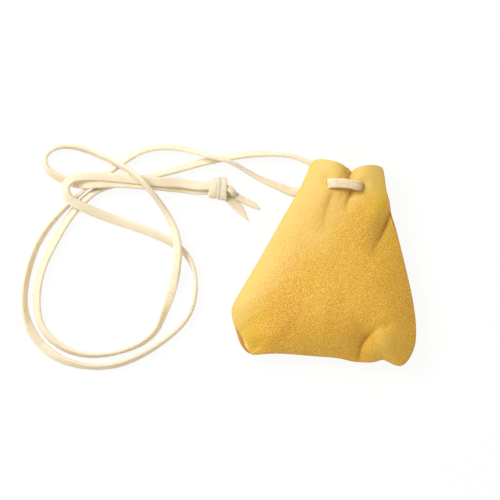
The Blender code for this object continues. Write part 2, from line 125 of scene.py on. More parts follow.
# On the way to the knot the left strand lies on the right one's edge, so the pair nests closer:
# how far each moves across at the last points, and how much higher the left one lies, in millimetres.
NEST_LEFT = (-0.25, -0.5, -0.75, -0.6, -0.4, -0.25, -0.2, -0.2)
NEST_RIGHT = (0.15, 0.3, 0.45, 0.6, 0.8, 1.0, 1.0, 1.0)
NEST_LIFT = (0.4, 0.8, 1.2, 1.2, 1.2, 1.2, 1.2, 1.2)
KNOT_DEPTH = 3.5
KNOT_ENTRY_HEIGHT = 1.7
KNOT_ENTRY_RUN = 2.2


def smooth_line(points, per_span=SPAN_STEPS):
    """A cubic line through the points, which shares slope and bend at each of them.

    Between points p and q, with slopes a and b there and u from 0 to 1, it is
    (2u^3 - 3u^2 + 1) p + (u^3 - 2u^2 + u) h a + (3u^2 - 2u^3) q + (u^3 - u^2) h b,
    where h is the chord's length to the power 0.6. The slopes solve one equation a point.
    """
    points = np.asarray(points, dtype=float)
    step = np.linalg.norm(np.diff(points, axis=0), axis=1) ** 0.6
    rise = np.diff(points, axis=0) / step[:, None]
    middle = 2.0 * np.concatenate([[1.0], step[:-1] + step[1:], [1.0]])
    below = np.append(step[1:], 1.0)
    above = np.append(1.0, step[:-1])
    pull = step[1:, None] * rise[:-1] + step[:-1, None] * rise[1:]
    right_side = 3.0 * np.vstack([rise[:1], pull, rise[-1:]])
    slopes = np.linalg.solve(np.diag(middle) + np.diag(below, -1) + np.diag(above, 1), right_side)
    u = np.linspace(0.0, 1.0, per_span, endpoint=False)[None, :, None]
    start, end = points[:-1, None], points[1:, None]
    leave, arrive = (step[:, None] * slopes[:-1])[:, None], (step[:, None] * slopes[1:])[:, None]
    spans = ((2 * u**3 - 3 * u**2 + 1) * start + (u**3 - 2 * u**2 + u) * leave
             + (3 * u**2 - 2 * u**3) * end + (u**3 - u**2) * arrive)
    return np.vstack([spans.reshape(-1, points.shape[1]), points[-1:]])


def travelled(line):
    """The distance along a line at each of its points."""
    return np.concatenate([[0.0], np.cumsum(np.linalg.norm(np.diff(line, axis=0), axis=1))])


def headings(line):
    """The unit direction in which a line runs at each of its points."""
    return unit(np.gradient(line, axis=0))


def soften(values, reach):
    """Values averaged over a raised-cosine window of so many places each way."""
    window = 1.0 + np.cos(np.linspace(-math.pi, math.pi, 2 * reach + 1))
    padded = np.pad(values, reach, mode="edge")
    return np.convolve(padded, window / window.sum(), mode="valid")


def unit(vectors):
    """Vectors brought to a length of 1."""
    return vectors / np.maximum(np.linalg.norm(vectors, axis=-1), 1e-9)[..., None]


def squared_off(value, power):
    """The value's size raised to the power, with its sign kept: sign(v) |v|^power."""
    return np.sign(value) * np.abs(value) ** power


def end_to_end(share, levels):
    """Levels given at equal steps from one end to the other, read at a share of the way."""
    return np.interp(share, np.linspace(0.0, 1.0, len(levels)), levels)


def points_at(line, distances):
    """Points of a line at distances along it."""
    places = travelled(line)
    return np.stack([np.interp(distances, places, axis) for axis in line.T], axis=1)


def spaced(line, step, least=2):
    """A line read again at even steps, and the distance along it at each of its points."""
    length = travelled(line)[-1]
    even = np.linspace(0.0, length, max(int(length / step), least))
    return points_at(line, even), even


def rolled_frame(line, roll):
    """The ways of a lace's width and face: level across its line, then turned about it by the roll."""
    along = headings(line)
    side = unit(np.column_stack([-along[:, 1], along[:, 0], np.zeros(len(line))]))
    above = np.cross(along, side)
    cosine, sine = np.cos(roll)[:, None], np.sin(roll)[:, None]
    return cosine * side + sine * above, cosine * above - sine * side


def square_frame(along, way):
    """Two ways square to a line that runs along: the one nearest to the given way, and the other."""
    nearest = unit(way - along * np.sum(along * way, axis=-1)[:, None])
    return nearest, np.cross(along, nearest)


def link_piece(name, material, points, faces, uv=None):
    """A smooth-shaded mesh object at the origin, from points in metres and lists of corners."""
    mesh = bpy.data.meshes.new(name)
    mesh.from_pydata(points.tolist(), [], faces)
    if uv is not None:
        layer = mesh.uv_layers.new(name="UVMap")
        layer.data.foreach_set("uv", np.asarray(uv, dtype=np.float32).ravel())
    mesh.shade_smooth()
    mesh.materials.append(material)
    piece = placed(name, mesh)
    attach(piece, "root")
    return piece


def tube_mesh(rings, along, around, closed=False):
    """Points, faces and UVs of a tube from its rings of points, with caps unless it is closed.

    The UVs are the given values along the tube, one more than the rings where it is closed,
    and the given values round it, one more than the points of a ring.
    """
    count, sides = rings.shape[:2]
    row, column = np.meshgrid(np.arange(count if closed else count - 1), np.arange(sides), indexing="ij")
    next_row, next_column = (row + 1) % count, (column + 1) % sides
    faces = np.stack([row * sides + column, row * sides + next_column,
                      next_row * sides + next_column, next_row * sides + column], axis=-1)
    faces = faces.reshape(-1, 4).tolist()
    along_corners = np.stack([along[row], along[row], along[row + 1], along[row + 1]], axis=-1)
    beside = around[column + 1]
    around_corners = np.stack([around[column], beside, beside, around[column]], axis=-1)
    uv = np.stack([along_corners, around_corners], axis=-1).reshape(-1, 2)
    if not closed:
        first = list(range(sides))
        faces += [first[::-1], [(count - 1) * sides + corner for corner in first]]
        uv = np.vstack([uv, np.zeros((2 * sides, 2))])
    return rings.reshape(-1, 3), faces, uv


def lace_band(line, across, facing, half_width, half_thickness, closed=False):
    """One rounded section carried along a line. Returns points, faces and UVs.

    Round the section the angle a makes one turn, and the point is line + across w + facing n
    with w = half_width sign(cos a) |cos a|^k and n = half_thickness sign(sin a) |sin a|^k,
    where k is the corner power. UVs are centimetres along the lace and round its section.
    """
    angle = np.linspace(0.0, math.tau, SECTION_POINTS, endpoint=False)
    wide = squared_off(np.cos(angle), CORNER_POWER)
    thick = squared_off(np.sin(angle), CORNER_POWER)
    rings = (line[:, None] + across[:, None] * (half_width[:, None] * wide)[..., None]
             + facing[:, None] * (half_thickness[:, None] * thick)[..., None])
    along = travelled(np.vstack([line, line[:1]])) / (10 * MM)
    around = np.arange(SECTION_POINTS + 1) / SECTION_POINTS * (LACE_WIDTH + LACE_THICKNESS) / (5 * MM)
    return tube_mesh(rings, along, around, closed)


def new_material(name, values):
    """A material with these values on its main shader. Returns it, its node tree and the shader."""
    material = bpy.data.materials.new(name)
    material.use_nodes = True
    shader = material.node_tree.nodes["Principled BSDF"]
    for socket, value in values.items():
        shader.inputs[socket].default_value = value
    return material, material.node_tree, shader


def fed(tree, kind, output, inputs, **settings):
    """The output of a new node, each of whose inputs is set to a value or linked to an output."""
    node = tree.nodes.new("ShaderNode" + kind)
    for setting, value in settings.items():
        setattr(node, setting, value)
    for socket, value in inputs.items():
        if isinstance(value, bpy.types.NodeSocket):
            tree.links.new(value, node.inputs[socket])
        else:
            node.inputs[socket].default_value = value
    return node.outputs[output]


def calculated(tree, operation, *values, **settings):
    """One step of arithmetic on numbers and outputs."""
    return fed(tree, "Math", "Value", dict(enumerate(values)), operation=operation, **settings)


def measured(tree, name):
    """The number that the mesh stores under this name."""
    return fed(tree, "Attribute", "Fac", {}, attribute_name=name)


def blended(tree, first, second, share):
    """Two numbers mixed: the first at a share of 0, and the second at 1."""
    return fed(tree, "Mix", "Result", {"Factor": share, "A": first, "B": second}, data_type="FLOAT")


def painted(tree, share, under, over):
    """One colour laid over another by the share. Each is a colour or a node's output."""
    under, over = ((*colour, 1.0) if isinstance(colour, tuple) else colour for colour in (under, over))
    return fed(tree, "Mix", 2, {0: share, 6: under, 7: over}, data_type="RGBA")


def ramped(tree, share, low, high):
    """Colours between two ends, each a place and a colour, as the share runs from end to end."""
    ramp = tree.nodes.new("ShaderNodeValToRGB")
    for element, (place, colour) in zip(ramp.color_ramp.elements, (low, high)):
        element.position = place
        element.color = (*colour, 1.0)
    tree.links.new(share, ramp.inputs["Fac"])
    return ramp.outputs["Color"]


def bumped(tree, shader, height, **inputs):
    """Gives a shader the relief of a height."""
    normal = fed(tree, "Bump", "Normal", {"Height": height, **inputs})
    tree.links.new(normal, shader.inputs["Normal"])


def lace_material():
    """Cream hide: cloudy tan mottling, fibres along the lace, a short, dry nap, dirty places, and painted
    shade where it stands down in the holes.
    """
    material, tree, shader = new_material("cream_lace", {
        "Roughness": 0.92, "Specular IOR Level": 0.25, "Sheen Weight": 0.08, "Sheen Roughness": 0.6,
        "Subsurface Weight": 0.7, "Subsurface Radius": (1.0, 1.0, 1.0), "Subsurface Scale": 1.8 * MM,
    })

    def noise(scale, detail, source="Object", stretch=(1.0, 1.0, 1.0)):
        place = fed(tree, "TexCoord", source, {})
        place = fed(tree, "Mapping", "Vector", {"Vector": place, "Scale": stretch})
        return fed(tree, "TexNoise", "Fac",
                   {"Vector": place, "Scale": scale, "Detail": detail, "Roughness": 0.6})

    clouds = noise(340.0, 3.0)
    fibres = noise(5.0, 6.0, "UV", (1.0, 7.0, 1.0))
    nap = noise(2000.0, 4.0)
    mottling = blended(tree, clouds, blended(tree, fibres, nap, 0.45), 0.6)
    colour = ramped(tree, mottling, (0.34, LACE_TAN), (0.58, LACE_CREAM))
    flecks = fed(tree, "MapRange", "Result",
                 {"Value": noise(1500.0, 2.0), "From Min": 0.36, "From Max": 0.64, "To Max": 2.0})
    # Dirt in flecks, and painted shade where the lace stands down in the holes.
    stain_and_shade = calculated(tree, "MULTIPLY", measured(tree, "soil_and_hole_shade"), flecks)
    tree.links.new(painted(tree, stain_and_shade, colour, LACE_STAIN_AND_SHADE), shader.inputs["Base Color"])
    bumped(tree, shader, blended(tree, fibres, nap, 0.5), Strength=0.35, Distance=0.3 * MM)
    return material


cream_lace = lace_material()


def knot_point(along, across, height):
    """A point by its distance along the knot's axis and across it, in millimetres."""
    cosine, sine = math.cos(KNOT_TURN), math.sin(KNOT_TURN)
    return (KNOT_CENTRE[0] + along * cosine - across * sine,
            KNOT_CENTRE[1] + along * sine + across * cosine, height)


def strand_line(exit_point, route, rolls, across):
    """The centre line of a strand in metres and its roll at each point in radians.

    The height is half the height of the rolled section, which is w |sin r| + t |cos r|, and
    above that 1.25 times what the route stands over the surface.
    """
    entry = knot_point(-KNOT_DEPTH, across, KNOT_ENTRY_HEIGHT)
    inside = knot_point(-KNOT_DEPTH + KNOT_ENTRY_RUN, 0.8 * across, KNOT_ENTRY_HEIGHT)
    points = np.vstack([exit_point, np.array(route), entry, inside]) * MM
    points[-8:, 1] += np.array(NEST_LEFT if across > 0 else NEST_RIGHT) * MM
    if across > 0:
        points[-8:, 2] += np.array(NEST_LIFT) * MM
    turns = np.radians(np.concatenate([[0.0], rolls, rolls[-1:], rolls[-1:]]))
    line = smooth_line(points)
    turned_at = travelled(line)[::SPAN_STEPS]
    line, even = spaced(line, STATION_GAP)
    roll = soften(np.interp(even, turned_at, turns), int(ROLL_BLEND / STATION_GAP))
    standing = np.maximum(line[:, 2] - 0.5 * LACE_GAUGE, 0.0)
    support = 0.5 * (LACE_WIDTH * np.abs(np.sin(roll)) + LACE_THICKNESS * np.abs(np.cos(roll)))
    line[:, 2] = support + CROSSING_LIFT * standing
    return line, roll


def lay_strand(name, exit_point, route, rolls, across, phase):
    """A strand whose width turns about its line by the roll, a little uneven as cut by hand."""
    line, roll = strand_line(exit_point, route, rolls, across)
    place = travelled(line) / MM
    uneven = 0.035 * np.sin(place / 7.3 + phase) + 0.025 * np.sin(place / 2.9 + 2 * phase)
    half_width = 0.5 * LACE_WIDTH * (1.0 + uneven)
    half_thickness = 0.5 * LACE_THICKNESS * (1.0 - 0.03 + 0.05 * np.sin(place / 11.0 + 3 * phase))
    band = lace_band(line, *rolled_frame(line, roll), half_width, half_thickness)
    strand = link_piece(name, cream_lace, *band)
    return strand, line


left_strand, left_line = lay_strand("left_strand", LEFT_EXIT, LEFT_ROUTE, LEFT_ROLLS, STRAND_SPREAD, 0.4)
right_strand, right_line = lay_strand("right_strand", RIGHT_EXIT, RIGHT_ROUTE, RIGHT_ROLLS,
                                      -STRAND_SPREAD, 1.9)
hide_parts("thong_strand_left")
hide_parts("thong_strand_right")

# The knot: both strands tied together in one overhand knot. Three flat turns of lace lie side by
# side round the strands, a short loop shows past them, and both ends are cut at a slant.
WRAPS = (
    # place along the axis, width, half the span across, half the height, lean, middle across
    (-1.95, 3.0, 3.65, 2.45, 0.06, 0.35),
    (-0.22, 1.4, 4.00, 2.62, -0.10, 0.60),
    (1.42, 2.6, 4.20, 2.70, -0.16, 0.70),
)
WRAP_THICKNESS = 1.35
WRAP_STATIONS = 96
WRAP_SQUARENESS = 2.5


def wrap_band(along, width, half_span, half_height, lean, middle):
    """One flat turn round the strands: a closed band on a squared-off ring.

    With the angle a and power k = 2/squareness, the ring is y = y0 sign(cos a) |cos a|^k and
    z = z0 (1 + sign(sin a) |sin a|^k). It leans along the axis by the lean times y.
    """
    angle = np.linspace(0.0, math.tau, WRAP_STATIONS, endpoint=False)
    inset = 0.5 * WRAP_THICKNESS
    across = (half_span - inset) * squared_off(np.cos(angle), 2.0 / WRAP_SQUARENESS)
    up = (half_height - inset) * squared_off(np.sin(angle), 2.0 / WRAP_SQUARENESS)
    shift = along + lean * across + 0.12 * np.sin(2 * angle)
    line = np.column_stack(knot_point(shift, across + middle, up + half_height)) * MM
    run = unit(np.roll(line, -1, axis=0) - np.roll(line, 1, axis=0))
    axis = np.array([math.cos(KNOT_TURN), math.sin(KNOT_TURN), 0.0])
    half_width = 0.5 * width * MM * (1.0 + 0.05 * np.sin(angle * 2 + along))
    half_thickness = np.full(WRAP_STATIONS, inset * MM)
    return lace_band(line, *square_frame(run, axis), half_width, half_thickness, closed=True)


def free_band(route, widths, thickness, lean):
    """A short open stretch of lace through the points, leaning about its line by the lean.

    The half width is read between the given widths at equal steps of its length.
    """
    line, even = spaced(smooth_line(np.array(route) * MM, 10), FINE_STEP, 12)
    share = even / even[-1]
    half_width = 0.5 * MM * end_to_end(share, widths)
    half_thickness = 0.5 * thickness * MM * np.clip(half_width / (0.5 * MM), 0.3, 1.0)
    frame_ways = rolled_frame(line, np.radians(end_to_end(share, lean)))
    return lace_band(line, *frame_ways, half_width, half_thickness)


def joined(parts):
    """Several bands as one mesh: their points, faces and UVs one after another."""
    points, faces, uvs, count = [], [], [], 0
    for part_points, part_faces, part_uv in parts:
        points.append(part_points)
        faces += [[corner + count for corner in face] for face in part_faces]
        uvs.append(part_uv)
        count += len(part_points)
    return np.vstack(points), faces, np.vstack(uvs)


# The loop that shows beside the turns, the strand that crosses under it, and both cut ends.
NUB_ROUTE = ((-35.8, 26.9, 2.8), (-34.4, 26.9, 3.8), (-33.2, 26.3, 4.2), (-32.3, 25.2, 3.7),
             (-32.6, 24.4, 2.6), (-34.0, 24.1, 1.9))
UNDER_ROUTE = ((-36.2, 25.6, 3.1), (-34.4, 25.4, 3.0), (-32.9, 24.9, 2.4), (-31.2, 24.0, 1.5))
FIRST_TAIL = ((-35.6, 25.3, 2.6), (-34.0, 23.4, 2.2), (-31.7, 21.2, 1.3), (-29.4, 18.4, 0.9),
              (-26.7, 15.0, 0.75))
SECOND_TAIL = ((-32.6, 24.9, 2.2), (-30.2, 23.5, 1.7), (-27.4, 22.0, 1.1), (-25.0, 20.8, 0.9),
               (-22.7, 19.2, 0.8))
FREE_STRETCHES = (
    # route, widths from end to end, thickness, lean in degrees from end to end
    (NUB_ROUTE, (2.0, 2.4, 2.4, 2.1, 1.8), 1.2, (-20, -35, -30, 10)),
    (UNDER_ROUTE, (2.2, 2.4, 2.4), 1.2, (20, 10, 0)),
    (FIRST_TAIL, (2.6, 3.1, 3.4, 3.5, 3.4, 3.1, 2.3, 1.2, 0.2), 1.3, (-6, -9, -9, -3)),
    (SECOND_TAIL, (2.4, 2.5, 2.5, 2.5, 2.4, 2.4, 2.3, 1.7, 0.5), 1.3, (-10, -14, -12, -4)),
)

knot_parts = [wrap_band(*wrap) for wrap in WRAPS] + [free_band(*stretch) for stretch in FREE_STRETCHES]
knot = link_piece("lace_knot", cream_lace, *joined(knot_parts))
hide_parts("thong_knot")

# The front and back panels: soft golden leather, 1.2 mm thick, cut alike and sewn face to face
# along the sides and the bottom, then turned. Each panel's edge rolls over at the seam and its
# allowance lies inside. The pouch is full and soft, and the drawn thong gathers its mouth.
LEATHER = 1.2
SEAM_GAP = 0.3
LIP_RADIUS = 1.4
ALLOWANCE = 4.0
SEAM_BOTTOM, SEAM_BELLY, SEAM_MOUTH = 4.8, 6.5, 8.3
HALF_LENGTH = 37.0
CROWN_BELLY, CROWN_MOUTH = 16.4, 14.6
NECK_LIFT = 3.6
# How square the front's section is, by place along the seam: 2 is round, more is flatter on top.
FULLNESS_PLACES = (0.0, 0.08, 0.25, 0.36, 0.45, 0.58, 0.70, 0.85, 0.93, 1.0)
FULLNESS = (2.0, 2.0, 2.1, 2.2, 2.6, 2.6, 3.2, 2.6, 2.0, 2.0)
SPINE_FOOT = (0.7, -13.0)
MOUTH_MIDDLE = (8.7, 34.6)
HALF_STATIONS = 260
DOME_ROWS, LIP_ROWS, ALLOWANCE_ROWS = 62, 15, 5
GOLD_PALE_SHEEN = (0.80, 0.620, 0.165)
GOLD_LIGHT = (0.83, 0.615, 0.068)
GOLD_DEEP = (0.725, 0.325, 0.002)
# The colour of the painted shade in the folds, under the captive lace and in the seam's groove.
GOLD_FOLD_SHADE = (0.44, 0.17, 0.012)
GOLD_WORN_HIGHLIGHT = (0.97, 0.84, 0.50)
RIDGE_SCALE, PORE_SCALE = 425.0, 3600.0
GRAIN_HEIGHT = 0.27
# How much lighter the grain's ridges are than its hollows.
GRAIN_SWING = (0.22, 0.225, 0.13)
GRAIN_TURN = 38
DARKEST = (0.002, 0.002, 0.002)

# The seam as it shows from above, in millimetres: from the left corner of the mouth down, along
# the bottom, and up to the right corner.
SEAM_OUTLINE = (
    (-4.9, 35.0), (-6.2, 31.7), (-8.4, 27.0), (-13.1, 18.8), (-17.9, 10.4), (-27.4, -6.1), (-32.4, -15.0),
    (-33.0, -17.4), (-32.6, -20.4), (-31.4, -24.5), (-29.6, -29.5), (-27.5, -32.0), (-25.4, -32.9),
    (-21.6, -32.7), (-13.7, -32.6), (-4.0, -33.4), (6.0, -34.3), (10.2, -35.3), (15.0, -35.7),
    (18.9, -35.4), (21.2, -34.8), (23.9, -35.9), (26.6, -36.9), (28.2, -36.8), (29.9, -35.5), (31.6, -32.8),
    (32.8, -29.5), (33.2, -25.6), (33.0, -20.5), (32.0, -13.3), (29.6, -2.5), (26.2, 11.2), (25.1, 14.9),
    (24.1, 18.3), (23.8, 20.6), (23.2, 23.4), (22.4, 26.3), (21.9, 30.0), (21.4, 33.0),
)
# The mouth's cut edge as it shows from above: two lobes with the pinch between them.
MOUTH_EDGE = (
    (-4.9, 35.0), (-4.3, 36.1), (-2.7, 37.0), (-0.5, 37.1), (2.4, 36.6), (5.0, 35.9), (7.0, 34.9),
    (8.4, 33.2), (9.2, 31.4), (10.3, 32.9), (12.2, 34.2), (14.6, 34.8), (17.2, 35.0), (19.4, 34.7),
    (20.8, 34.1), (21.4, 33.0),
)
MOUTH_REACH = 13.0


def ease(value):
    """A smooth step from 0 to 1 as the value runs from 0 to 1."""
    value = np.clip(value, 0.0, 1.0)
    return value * value * (3.0 - 2.0 * value)


def seam_height(y):
    """Height of the seam: the parabola through its heights at the bottom, belly and mouth."""
    places = (-HALF_LENGTH, -0.2 * HALF_LENGTH, HALF_LENGTH)
    return np.polyval(np.polyfit(places, (SEAM_BOTTOM, SEAM_BELLY, SEAM_MOUTH), 2), y)


def mouth_shift(x, y):
    """How far the mouth's edge runs out from a straight line, fading out below the mouth."""
    edge = smooth_line(MOUTH_EDGE, 8)
    straight = np.interp(x, (MOUTH_EDGE[0][0], MOUTH_MIDDLE[0], MOUTH_EDGE[-1][0]),
                         (MOUTH_EDGE[0][1], MOUTH_MIDDLE[1], MOUTH_EDGE[-1][1]))
    lobes = np.interp(x, edge[:, 0], edge[:, 1]) - straight
    return lobes * ease((y - straight + MOUTH_REACH) / MOUTH_REACH)


def path_reach(x, y, path):
    """Nearest distance to a path, the side it lies on and the share of the path's length there.

    For each straight piece from a to b the nearest share is ((p - a) . (b - a)) / |b - a|^2,
    held to 0..1. The side is the sign of (b - a) x (p - a), so it is positive on the left.
    """
    path = np.asarray(path, dtype=float)
    lengths = np.linalg.norm(np.diff(path, axis=0), axis=1)
    starts = np.concatenate([[0.0], np.cumsum(lengths)])
    best = np.full(np.shape(x), 1e9)
    side = np.zeros(np.shape(x))
    share = np.zeros(np.shape(x))
    for index, length in enumerate(lengths):
        run = (path[index + 1] - path[index]) / length
        across_x, across_y = x - path[index, 0], y - path[index, 1]
        place = np.clip(across_x * run[0] + across_y * run[1], 0.0, length)
        gap = np.hypot(across_x - place * run[0], across_y - place * run[1])
        turn = np.sign(run[0] * across_y - run[1] * across_x)
        nearer = gap < best
        best = np.where(nearer, gap, best)
        side = np.where(nearer, turn, side)
        share = np.where(nearer, (starts[index] + place) / starts[-1], share)
    return best, side, share


def crease(x, y, path, depths, left, right, sharp=1.4):
    """A groove along a path: depth(share) exp(-(distance / flank)^sharp), with its own flank each side."""
    gap, side, share = path_reach(x, y, smooth_line(path, 4))
    flank = left + (right - left) * ease(0.5 - side * gap / 1.2)
    return -end_to_end(share, depths) * np.exp(-(gap / flank) ** sharp)


def mound(x, y, centre, reach, height, turn=0.0):
    """A soft swelling: height exp(-(a / reach_a)^2 - (b / reach_b)^2) about its centre."""
    cosine, sine = math.cos(math.radians(turn)), math.sin(math.radians(turn))
    a = (x - centre[0]) * cosine + (y - centre[1]) * sine
    b = (y - centre[1]) * cosine - (x - centre[0]) * sine
    return height * np.exp(-(a / reach[0]) ** 2 - (b / reach[1]) ** 2)


def undulation(x, y, sizes, seed):
    """A gentle unevenness: a sum of plane waves in turned directions, one for each size."""
    total = np.zeros(np.shape(x))
    for index, (wavelength, height) in enumerate(sizes):
        way = seed + 2.4 * index
        place = (x * math.cos(way) + y * math.sin(way)) / wavelength
        total += height * np.sin(math.tau * place + 1.7 * seed * index)
    return total


PINCH = ((9.2, 34.0), (9.3, 31.6), (9.6, 28.6), (9.9, 26.1), (9.1, 23.4), (8.2, 20.9), (7.6, 18.0))
LONG_VALLEY = ((3.9, 26.6), (3.1, 25.0), (1.6, 21.6), (0.4, 17.6), (-0.3, 13.6), (-0.8, 9.4))
SMALL_WRINKLE = ((6.6, 26.4), (6.2, 24.4), (5.5, 22.2))
RIGHT_FOLD = ((25.4, 20.4), (23.9, 17.6), (22.5, 14.2), (20.8, 10.5), (19.0, 7.2), (17.9, 4.4), (16.8, 1.4))
LUMP_CREASE = (
    (12.6, -35.6), (12.9, -32.4), (13.4, -29.8), (15.0, -27.1), (17.0, -24.8), (19.2, -22.8), (22.0, -21.0),
)
SECOND_CREASE = ((20.2, -24.4), (22.2, -22.0), (24.4, -19.9))
CORNER_CREASE = ((21.2, -35.6), (21.7, -33.0), (22.8, -30.4))
# Where a painted shadow line runs along the leather under the captive lace's lower edge.
BRIDGE_SHADOW_LINE = ((2.0, 26.4), (5.5, 26.2), (9.1, 25.9), (12.0, 25.5))
WORN_HIGHLIGHT_EDGE = ((-31.6, -24.4), (-30.4, -25.9), (-29.0, -27.6), (-27.6, -29.8), (-26.4, -31.9))
# The painted shade: thin dark lines in the depth of the folds and under the captive lace. Path, darkness from
# end to end, half width.
FOLD_SHADE_LINES = (
    (PINCH, (0.1, 0.1, 0.3, 0.5, 0.4, 0.2, 0.0), 0.6),
    (LONG_VALLEY, (0.1, 0.4, 0.35, 0.25, 0.15, 0.0), 0.5),
    (SMALL_WRINKLE, (0.0, 0.3, 0.0), 0.4),
    (RIGHT_FOLD, (0.9, 1.0, 0.95, 0.8, 0.5, 0.3, 0.0), 0.55),
    (LUMP_CREASE, (0.25, 0.55, 0.7, 0.75, 0.55, 0.3, 0.0), 0.6),
    (SECOND_CREASE, (0.0, 0.45, 0.0), 0.5),
    (BRIDGE_SHADOW_LINE, (0.3, 0.45, 0.3, 0.0), 0.4),
)
# Where the front's turned edge is worn pale and carries a painted highlight, at the lower left corner.
WORN_HIGHLIGHT_LINES = (
    (WORN_HIGHLIGHT_EDGE, (0.0, 0.9, 1.0, 0.9, 0.0), 0.32),
)


def line_tone(x, y, lines):
    """How strongly the lines show, from 0 to 1: the strongest level exp(-(distance / width)^1.5)."""
    tone = np.zeros(np.shape(x))
    for path, levels, width in lines:
        gap, _, share = path_reach(x, y, smooth_line(path, 4))
        tone = np.maximum(tone, end_to_end(share, levels) * np.exp(-(gap / width) ** 1.5))
    return tone


def grain_depth_and_shade(x, y):
    """How deep the grain is: pulled smooth at the left, the neck and the lump, deep elsewhere. The deep gold
    follows it too, which is painted shade towards the lower right and at the lower left.
    """
    lower = ease((x - 0.35 * y + 28.0) / 22.0) * ease((34.0 - y) / 30.0)
    smoother = mound(x, y, (22.0, -27.0), (7.0, 7.0), 0.35) + mound(x, y, (-1.0, 8.0), (8.0, 7.0), 0.3)
    deeper = mound(x, y, (14.0, 14.5), (4.5, 8.0), 0.4) + mound(x, y, (-16.0, -17.0), (12.0, 11.0), 0.22)
    return 0.25 + 0.75 * lower - smoother + deeper


def taut_and_sheen_share(x, y):
    """How far the leather is paler, from 0 to 1: up and left of a line, and on the lump. It is pulled taut
    there, and the paleness is also a painted sheen on the side towards the lamp.
    """
    patches = mound(x, y, (22.0, -27.0), (6.0, 6.0), 0.6) + mound(x, y, (-1.0, 8.0), (7.0, 6.0), 0.8)
    return np.maximum(1.0 - ease((x - y + 13.0) / 13.0), patches)


# The front's folds and lumps: each form with its place and its size in millimetres.
FRONT_FORMS = (
    (crease, PINCH, (3.4, 3.1, 2.5, 2.0, 1.0, 0.4, 0.0), 4.2, 2.6),
    (crease, PINCH, (0.6, 0.7, 1.0, 1.1, 0.8, 0.4, 0.0), 1.1, 0.9),
    (crease, LONG_VALLEY, (0.3, 0.6, 0.6, 0.4, 0.25, 0.0), 4.4, 1.3),
    (crease, SMALL_WRINKLE, (0.0, 0.3, 0.0), 1.6, 0.7),
    (mound, (0.95, 28.4), (1.8, 1.8), -0.45),
    (mound, (13.9, 27.6), (2.2, 2.0), -0.7),
    (crease, RIGHT_FOLD, (0.9, 1.5, 2.0, 1.7, 1.1, 0.6, 0.0), 9.0, 2.8),
    (crease, RIGHT_FOLD, (0.2, 0.5, 0.7, 0.6, 0.4, 0.2, 0.0), 0.8, 0.8),
    (mound, (17.6, 16.5), (3.8, 8.0), 0.9, -25),
    (crease, LUMP_CREASE, (1.0, 1.7, 2.1, 2.2, 1.6, 0.8, 0.0), 4.0, 5.0),
    (crease, LUMP_CREASE, (0.2, 0.5, 0.7, 0.8, 0.6, 0.3, 0.0), 0.9, 0.8),
    (mound, (21.0, -27.6), (4.6, 6.0), 1.3, 35),
    (crease, SECOND_CREASE, (0.0, 0.7, 0.0), 1.8, 1.8),
    (crease, CORNER_CREASE, (0.7, 0.4, 0.0), 2.6, 3.4),
    (mound, (-23.4, -29.8), (3.0, 2.6), -1.2, 30),
)


def front_detail(x, y):
    """Folds, gathers and lumps of the front, in millimetres above the plain full form."""
    height = sum(form(x, y, *values) for form, *values in FRONT_FORMS)
    gather = mound(x, y, (16.0, 7.0), (4.0, 7.0), 1.0, 25)
    height += 0.07 * gather * np.sin(math.tau * (0.62 * y - 0.78 * x) / 1.7 + 0.4 * np.sin(0.9 * x + 0.7 * y))
    height += undulation(x, y, ((31.0, 0.12), (19.0, 0.08), (11.0, 0.04)), 0.9)
    return height


def back_detail(x, y):
    """The back lies flat on the surface, and only its lifted neck is gathered a little."""
    lifted = ease((y - 6.0) / 16.0)
    gathers = undulation(x, y, ((13.0, 0.25), (8.0, 0.15)), 2.1)
    return lifted * (gathers + 0.6 * mound(x, y, (8.8, 34.0), (2.6, 12.0), 1.0))


def front_crown(x, y):
    """Height of the full front away from its seam: high over the belly and lower at the neck."""
    level = CROWN_MOUTH + (CROWN_BELLY - CROWN_MOUTH) * ease((24.0 - y) / 44.0)
    return level - 0.6 * ((x - 6.0) / 30.0) ** 2


def back_crown(x, y):
    """The back lies on the surface, and its neck is lifted for the thong that passes under it."""
    return NECK_LIFT * ease((y - 5.0) / 18.0)


def panel_rays(side):
    """The rays from a panel's middle line to its seam, one at each station along the seam.

    Returns the stations' places from 0 to 1, the rays' inner and outer ends, their lengths and
    ways inwards, and the seam's small ups and downs at each of them.
    """
    places = np.linspace(0.0, 1.0, 2 * HALF_STATIONS + 1)
    outline = smooth_line(SEAM_OUTLINE, 10)
    seam_length = travelled(outline)[-1]
    seam = points_at(outline, places * seam_length)
    travel = 0.5 * np.sin(math.pi * places) + 0.5 * (1.0 - np.abs(1.0 - 2.0 * places))
    top, foot = np.array(MOUTH_MIDDLE), np.array(SPINE_FOOT)
    spine = top + (foot - top) * travel[:, None]
    length = np.linalg.norm(seam - spine, axis=1)
    inward = (spine - seam) / length[:, None]
    if side > 0:
        seam = seam + inward * lip_inset(seam)[:, None]
    return places, spine, seam, length, inward, pucker(places, seam_length)


def raised(spot, height):
    """Points from their places as seen from above and their heights."""
    return np.concatenate([spot, height[..., None]], axis=-1)


